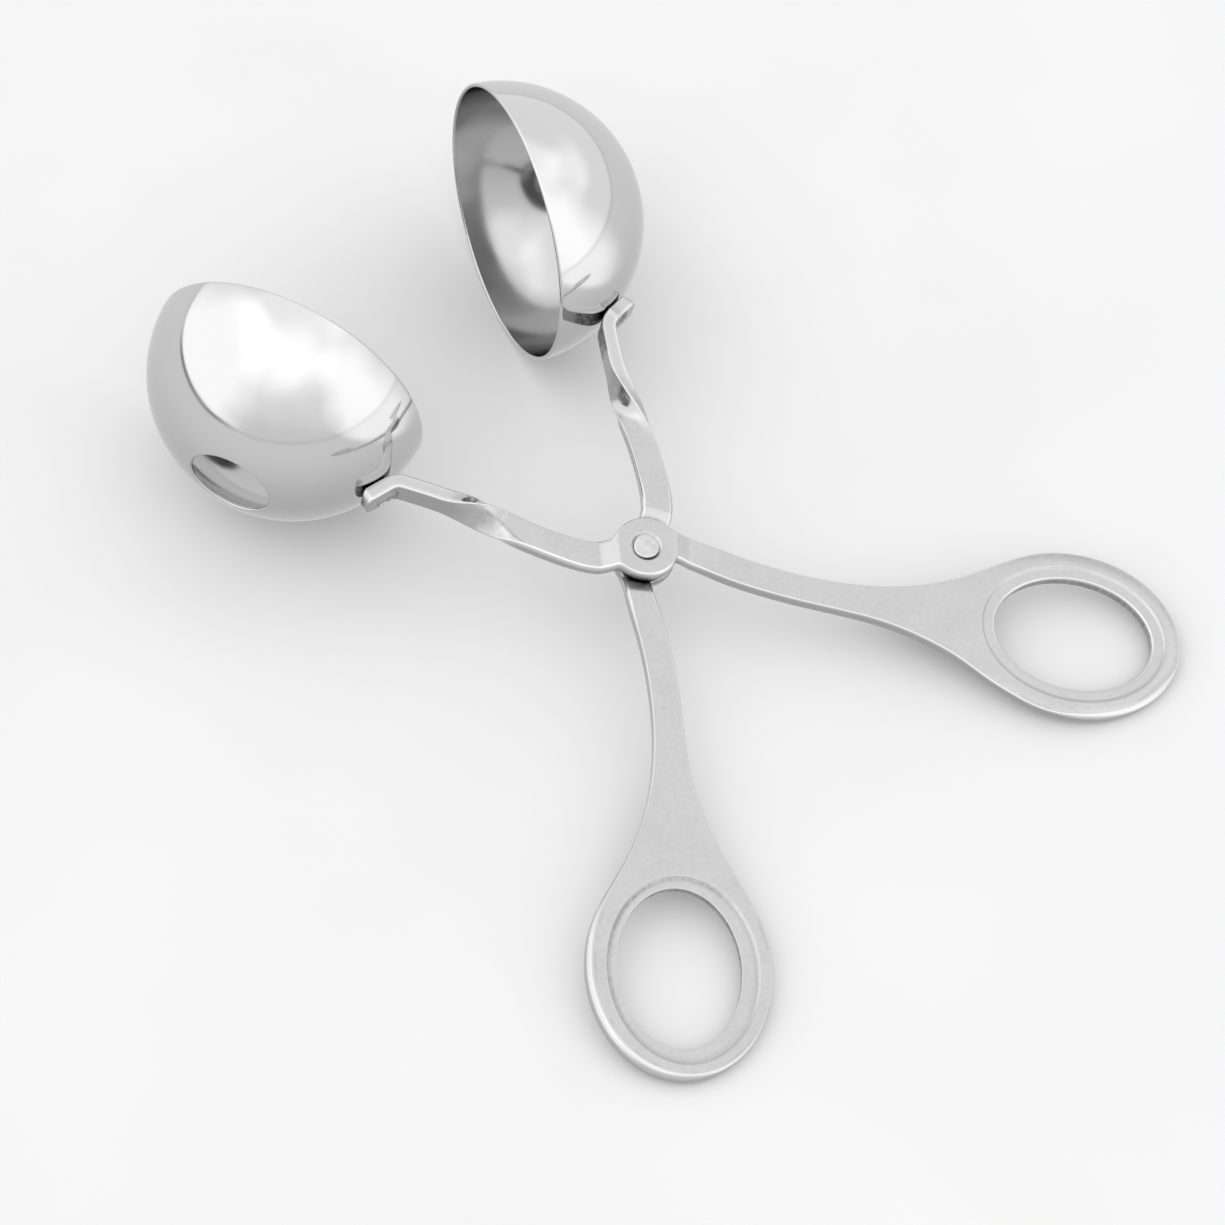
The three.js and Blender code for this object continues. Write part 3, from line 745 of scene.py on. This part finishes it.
def weld_surface():
    """A short spool on the line from the bowl's centre to the tab: its radius draws in at half height, and
    its ends stop in the tab's face and in the bowl's sheet."""
    outwards = direction(TAB_ANGLE + math.pi / 2)
    along = direction(TAB_ANGLE)
    up, turn = np.meshgrid(np.linspace(0, 1, WELD_ROWS), full_turn(WELD_SIDES), indexing="ij")
    radius = WELD_RADIUS - WELD_WAIST * np.sin(math.pi * up) + WELD_UNEVEN * np.sin(3 * turn + 2 * up)
    height = BOWL_RADIUS - WELD_BITE[0] + up * (WELD_GAP + sum(WELD_BITE))
    flat = BOWL_CENTRE + outwards * height[..., None] + along * (radius * np.cos(turn))[..., None]
    points = np.concatenate([flat, (radius * np.sin(turn))[..., None]], axis=2).reshape(-1, 3)
    numbers = np.arange(len(points)).reshape(up.shape)
    faces = quads(closed_round(numbers)).tolist()
    return points, [*faces, numbers[0].tolist(), numbers[-1][::-1].tolist()]


weld_points, weld_faces = weld_surface()
weld_steel = tumbled_steel("weld_steel", dull=(0.34, 0.34, 0.335), bright=(0.48, 0.47, 0.46),
                           rough=0.42, marks=0.5)
for side, half, turned_over in BOWL_HALVES:
    add_piece(side + "_bowl_weld", placed(weld_points, turned_over), weld_faces, weld_steel,
              half + "_half", "arm_steel", worn=np.zeros(len(weld_points)))

# Rivet: one solid steel rivet through both bosses, its shank a running fit and its ends hammered over into
# shallow dishes in the bosses; each end took two blows and is left as two flats with a blunt ridge.
SHANK_RADIUS = 1.7
RIVET_HEAD_RADIUS = 2.22
RIVET_SHOULDER = 0.3
SHOULDER_FALL = 0.7  # height of its round, as a share of its width
RIVET_RIDGE = 0.34  # over the face of the boss
RIDGE_FALL = (0.17, 0.15)  # slope of the two flats
RIDGE_SOFTNESS = 0.3
RIDGE_BEARING = math.radians(80)
RIVET_SEAT = 0.03  # over the floor of the dish
RIVET_SIDE = 0.04  # least height of the head's side, where a flat runs lowest
# Marks of the hammer: place, square of the spread, and depth
PEEN_DENTS = ((-0.7, 0.6, 0.5, 0.05), (0.5, 0.9, 0.4, 0.04),
              (0.9, -0.7, 0.6, 0.05), (-0.6, -1.0, 0.3, 0.03))
RIVET_SIDES = 96
CROWN_ROWS = 30
CROWN_MIDDLE = 0.03  # share of the crown that its innermost row goes round
SHOULDER_ROWS = 9


def rivet_surface():
    """Profile of a head, the shank and the other head, turned about the hinge: each head is a crown, a
    rounded shoulder and a straight side; the crown falls both ways from a ridge and has a few broad dents."""
    face = BOSS_LIFT + STOCK / 2
    seat = face - SINK_DEPTH + RIVET_SEAT
    crown = np.linspace(CROWN_MIDDLE, 1, CROWN_ROWS) * (RIVET_HEAD_RADIUS - RIVET_SHOULDER)
    turn_over = np.linspace(0, math.pi / 2, SHOULDER_ROWS + 1)[1:]
    shoulder = RIVET_HEAD_RADIUS - RIVET_SHOULDER + RIVET_SHOULDER * np.sin(turn_over)
    out = np.concatenate([crown, shoulder, [RIVET_HEAD_RADIUS, SHANK_RADIUS]])
    drop = np.concatenate([0 * crown, SHOULDER_FALL * RIVET_SHOULDER * (1 - np.cos(turn_over)), [0, 0]])
    on_top = np.repeat([1.0, 0.0], [CROWN_ROWS + SHOULDER_ROWS, 2])
    out, turn = np.meshgrid(out, full_turn(RIVET_SIDES), indexing="ij")
    x, y = out * np.cos(turn), out * np.sin(turn)
    across = x * math.cos(RIDGE_BEARING) + y * math.sin(RIDGE_BEARING)
    top = face + RIVET_RIDGE
    for slope, past_ridge in zip(RIDGE_FALL, (across, -across)):
        top = top - slope * soft_ramp(past_ridge, RIDGE_SOFTNESS)
    for dent_x, dent_y, spread, depth in PEEN_DENTS:
        top = top - depth * np.exp(-((x - dent_x) ** 2 + (y - dent_y) ** 2) / spread)
    head = seat + np.maximum(top - drop[:, None] - seat, RIVET_SIDE) * on_top[:, None]
    points = np.concatenate([np.stack([x, y, head], axis=2), np.stack([x, y, -head], axis=2)[::-1]])
    numbers = np.arange(points.shape[0] * RIVET_SIDES).reshape(points.shape[:2])
    faces = quads(closed_round(numbers[::-1])).tolist()
    return points.reshape(-1, 3), [*faces, numbers[0].tolist(), numbers[-1][::-1].tolist()]


rivet_points, rivet_faces = rivet_surface()
rivet_steel = tumbled_steel("peened_rivet_steel", dull=(0.46, 0.46, 0.46), bright=(0.55, 0.55, 0.55),
                            rough=0.18, marks=0.2)
rivet = add_piece("peened_rivet", rivet_points @ table_lean.T * MM + rivet_place, rivet_faces, rivet_steel,
                  "lower_half", "rivet_steel", worn=np.zeros(len(rivet_points)))
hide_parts("pivot_rivet")

# Table: a wide sheet of white paper that the tongs lie on. It sags a little between the finger rings, where
# the upper ring swings down as the tongs close.
TABLE_RADIUS = 1.1  # the table's sizes are in metres
TABLE_SAG = 0.0042
SAG_ALONG = (0.062, 0.100, 0.16, 0.40)  # towards the handles: starts, full, still full, gone
SAG_ACROSS = (0.020, 0.045)  # half widths: full, gone
TABLE_MIDDLE = (0.002, 0.02)  # radii of its two innermost rings
TABLE_RINGS = 90
TABLE_SIDES = 240
PAPER_CLOUDS = (14, 3)
PAPER_TONES = ((0.60, 0.60, 0.60), (0.62, 0.62, 0.62))
PAPER_ROUGHNESS = 0.8


def table_surface():
    """Rings of growing radius round the middle at table height, less the sag: a trough along -x that falls
    and rises again along its length and fades out to both sides."""
    inmost, inner = TABLE_MIDDLE
    ring = np.concatenate([[inmost], np.geomspace(inner, TABLE_RADIUS, TABLE_RINGS)])[:, None]
    turn = full_turn(TABLE_SIDES)
    x, y = ring * np.cos(turn), ring * np.sin(turn)
    start, full, still_full, gone = SAG_ALONG
    trough = smooth_step(-x, start, full) * (1 - smooth_step(-x, still_full, gone))
    sag = TABLE_SAG * trough * (1 - smooth_step(np.abs(y), *SAG_ACROSS))
    points = np.stack([x, y, -sag], axis=2).reshape(-1, 3)
    numbers = np.arange(len(points)).reshape(x.shape)
    return points, [*quads(closed_round(numbers[::-1])).tolist(), numbers[0].tolist()]


def table_paper():
    """White paper with a barely visible cloudiness."""
    tree, shader, finish = new_finish("table_paper")
    place = add_node(tree, "TexCoord", {}).outputs["Object"]
    cloud = spread_to(tree, noise(tree, place, *PAPER_CLOUDS), *NOISE_SPAN, 0.0, 1.0)
    tree.links.new(blended(tree, cloud, *PAPER_TONES), shader.inputs["Base Color"])
    shader.inputs["Roughness"].default_value = PAPER_ROUGHNESS
    return finish


table = mesh_object("table", *table_surface(), table_paper())
table.visible_glossy = False  # the steel mirrors the tent's floor instead

# Tent: white cloth all round, lit from outside, with three large panels, a soft box and a thin dark line
# where the table ends. It lights the tongs by direction, given as degrees of azimuth, from -y towards +x,
# and of elevation.
TENT_WALL = 1.16
TENT_CEILING = 0.26  # more than the wall
CEILING_EDGE = (40.0, 60.0)  # elevations between which the wall becomes the ceiling
TENT_FLOOR = (0.68, 0.97)  # straight down and just under the horizon
FLOOR_SPAN = (-75.0, -4.0)  # elevations between which it brightens
FLOOR_EDGE = 0.9  # half of the change from the floor to the wall
STANDING_PANEL = (-72, 24, 54, 0.55)  # azimuth, half width, highest elevation and strength
STANDING_FOOT = (-10, 47.5)  # its foot runs askew below the horizon, square to this azimuth and elevation
STANDING_EDGE = 3.0  # half of the change along its foot
HANGING_PANEL = (137, 45, 74, 0.50)
FRONT_PANEL = (-20, 20, 62, 0.30)
FRONT_PANEL_FOOT = (14, 30)  # elevations between which its light comes in
PANEL_SOFTNESS = 16
SOFT_BOX = (-139, 62, 6, 48, 0.38)  # azimuth, elevation, where its light starts to fall and ends, strength
SOFT_BOX_FOOT = (24, 50)  # elevations between which it comes in
SHADED_WALL = (-128, 42, 30, 0.18)  # azimuth, half width and height of a dim stretch, and the share lost
TENT_SAG = 0.2  # how far the cloth's edges wander
SAG_NOISE = {"Scale": 2.0, "Detail": 1.0}
HORIZON = (-2.4, 0.8, 0.6, 0.10)  # from, to, softness, and the share of the light that is lost there
DARK_HORIZON = (147, 32, 12, 0.55)  # azimuth, half width and softness where more is lost, and how much


def window(tree, value, low, high, soft):
    """1 between two values and 0 outside them, with soft edges."""
    rising = spread_to(tree, value, low - soft, low + soft, 0.0, 1.0)
    return arithmetic(tree, "MULTIPLY", rising, spread_to(tree, value, high - soft, high + soft, 1.0, 0.0))


def vector_math(tree, operation, first, second, output=0):
    """One step of arithmetic on two vectors."""
    return add_node(tree, "VectorMath", {0: first, 1: second}, operation=operation).outputs[output]


def elevation_of(tree, looking):
    """Degrees over the horizon of the direction that is looked at: the arc sine of its rise."""
    rise = add_node(tree, "SeparateXYZ", {0: looking}).outputs["Z"]
    return arithmetic(tree, "MULTIPLY", arithmetic(tree, "ARCSINE", rise, 0.0), math.degrees(1))


def angle_from(tree, looking, azimuth, elevation):
    """Degrees between the direction that is looked at and one given by azimuth and elevation: the arc cosine
    of their dot product."""
    azimuth, elevation = math.radians(azimuth), math.radians(elevation)
    level = math.cos(elevation)
    towards = (math.sin(azimuth) * level, -math.cos(azimuth) * level, math.sin(elevation))
    facing = vector_math(tree, "DOT_PRODUCT", looking, towards, "Value")
    return arithmetic(tree, "MULTIPLY", arithmetic(tree, "ARCCOSINE", facing, 0.0), math.degrees(1))


def by_azimuth(tree, looking, azimuth, half_width, soft, near, far):
    """One value within a half width of an azimuth and another outside it: the direction is brought down to
    the horizon first."""
    flat = vector_math(tree, "MULTIPLY", looking, (1, 1, 0))
    level = add_node(tree, "VectorMath", {0: flat}, operation="NORMALIZE").outputs[0]
    aside = angle_from(tree, level, azimuth, 0)
    return spread_to(tree, aside, half_width - soft, half_width + soft, near, far)


world = bpy.data.worlds.new("light_tent")
world.use_nodes = True
tent = world.node_tree
looking = add_node(tent, "TexCoord", {}).outputs["Generated"]
true_elevation = elevation_of(tent, looking)
sag = add_node(tent, "TexNoise", {"Vector": looking, **SAG_NOISE}).outputs["Color"]
sag = vector_math(tent, "MULTIPLY", vector_math(tent, "SUBTRACT", sag, (0.5, 0.5, 0.5)), (2 * TENT_SAG,) * 3)
cloth = vector_math(tent, "ADD", looking, sag)
cloth = add_node(tent, "VectorMath", {0: cloth}, operation="NORMALIZE").outputs[0]
elevation = elevation_of(tent, cloth)
panels = []
for azimuth, half_width, highest, extra in (STANDING_PANEL, HANGING_PANEL, FRONT_PANEL):
    across = by_azimuth(tent, cloth, azimuth, half_width, PANEL_SOFTNESS, extra, 0.0)
    upto = spread_to(tent, elevation, highest - PANEL_SOFTNESS, highest + PANEL_SOFTNESS, 1.0, 0.0)
    panels.append(arithmetic(tent, "MULTIPLY", across, upto))
from_foot = angle_from(tent, looking, *STANDING_FOOT)
foot = spread_to(tent, from_foot, 90 - STANDING_EDGE, 90 + STANDING_EDGE, 1.0, 0.0)
standing = arithmetic(tent, "MULTIPLY", panels[0], foot)
front = arithmetic(tent, "MULTIPLY", panels[2], spread_to(tent, elevation, *FRONT_PANEL_FOOT, 0.0, 1.0))
box_azimuth, box_elevation, box_full, box_end, box_light = SOFT_BOX
box = spread_to(tent, angle_from(tent, cloth, box_azimuth, box_elevation), box_full, box_end, box_light, 0.0)
box = arithmetic(tent, "MULTIPLY", box, spread_to(tent, elevation, *SOFT_BOX_FOOT, 0.0, 1.0))
sky = arithmetic(tent, "ADD", spread_to(tent, elevation, *CEILING_EDGE, 0.0, TENT_CEILING), TENT_WALL)
for light in (panels[1], front, box):
    sky = arithmetic(tent, "ADD", sky, light)
shade_azimuth, shade_width, shade_height, shade_loss = SHADED_WALL
shade = by_azimuth(tent, cloth, shade_azimuth, shade_width, PANEL_SOFTNESS, shade_loss, 0.0)
shade = arithmetic(tent, "MULTIPLY", shade, spread_to(tent, elevation, 0.0, shade_height, 1.0, 0.0))
sky = arithmetic(tent, "MULTIPLY", sky, arithmetic(tent, "SUBTRACT", 1.0, shade))
ground = spread_to(tent, true_elevation, *FLOOR_SPAN, *TENT_FLOOR)
above = spread_to(tent, true_elevation, -FLOOR_EDGE, FLOOR_EDGE, 0.0, 1.0)
strength = arithmetic(tent, "MULTIPLY", arithmetic(tent, "SUBTRACT", sky, ground), above)
strength = arithmetic(tent, "ADD", arithmetic(tent, "ADD", strength, ground), standing)
line_low, line_high, line_soft, line_loss = HORIZON
dark_azimuth, dark_width, dark_soft, dark_loss = DARK_HORIZON
loss = by_azimuth(tent, looking, dark_azimuth, dark_width, dark_soft, line_loss + dark_loss, line_loss)
horizon = arithmetic(tent, "MULTIPLY", window(tent, true_elevation, line_low, line_high, line_soft), loss)
strength = arithmetic(tent, "MULTIPLY", strength, arithmetic(tent, "SUBTRACT", 1.0, horizon))
tent.links.new(strength, tent.nodes["Background"].inputs["Strength"])
tent.nodes["Background"].inputs["Color"].default_value = (1.0, 1.0, 1.0, 1.0)
bpy.context.scene.world = world
bpy.context.scene.view_settings.view_transform = "Standard"

# Camera: a long lens above the handles, looking down over the rivet at the bowls; its bearing, height and
# roll are measured from the plane of the arms.
CAMERA_AZIMUTH = math.radians(-153.0934)
CAMERA_ELEVATION = math.radians(62.8711)
CAMERA_ROLL = math.radians(21.963)
CAMERA_DISTANCE = 703.277
CAMERA_ASIDE = (-5.368, -10.184)  # to the right and up from the line through the rivet
CAMERA_LENS = 121.18
CAMERA_SENSOR = 36.0

bearing_cos, bearing_sin = math.cos(CAMERA_AZIMUTH), math.sin(CAMERA_AZIMUTH)
height_cos, height_sin = math.cos(CAMERA_ELEVATION), math.sin(CAMERA_ELEVATION)
backwards = np.array([bearing_sin * height_cos, -bearing_cos * height_cos, height_sin])
level_right = np.array([bearing_cos, bearing_sin, 0])
level_up = np.cross(backwards, level_right)
right = math.cos(CAMERA_ROLL) * level_right + math.sin(CAMERA_ROLL) * level_up
upwards = math.cos(CAMERA_ROLL) * level_up - math.sin(CAMERA_ROLL) * level_right
stand = CAMERA_ASIDE[0] * right + CAMERA_ASIDE[1] * upwards + CAMERA_DISTANCE * backwards
camera_data = bpy.data.cameras.new("camera")
camera_data.lens = CAMERA_LENS
camera_data.sensor_width = CAMERA_SENSOR
camera = bpy.data.objects.new("camera", camera_data)
bpy.context.collection.objects.link(camera)
camera_pose = np.eye(4)
camera_pose[:3, :3] = table_lean @ np.column_stack([right, upwards, backwards])
camera_pose[:3, 3] = table_lean @ stand * MM + rivet_place
camera.matrix_world = Matrix(camera_pose.tolist())
bpy.context.scene.camera = camera
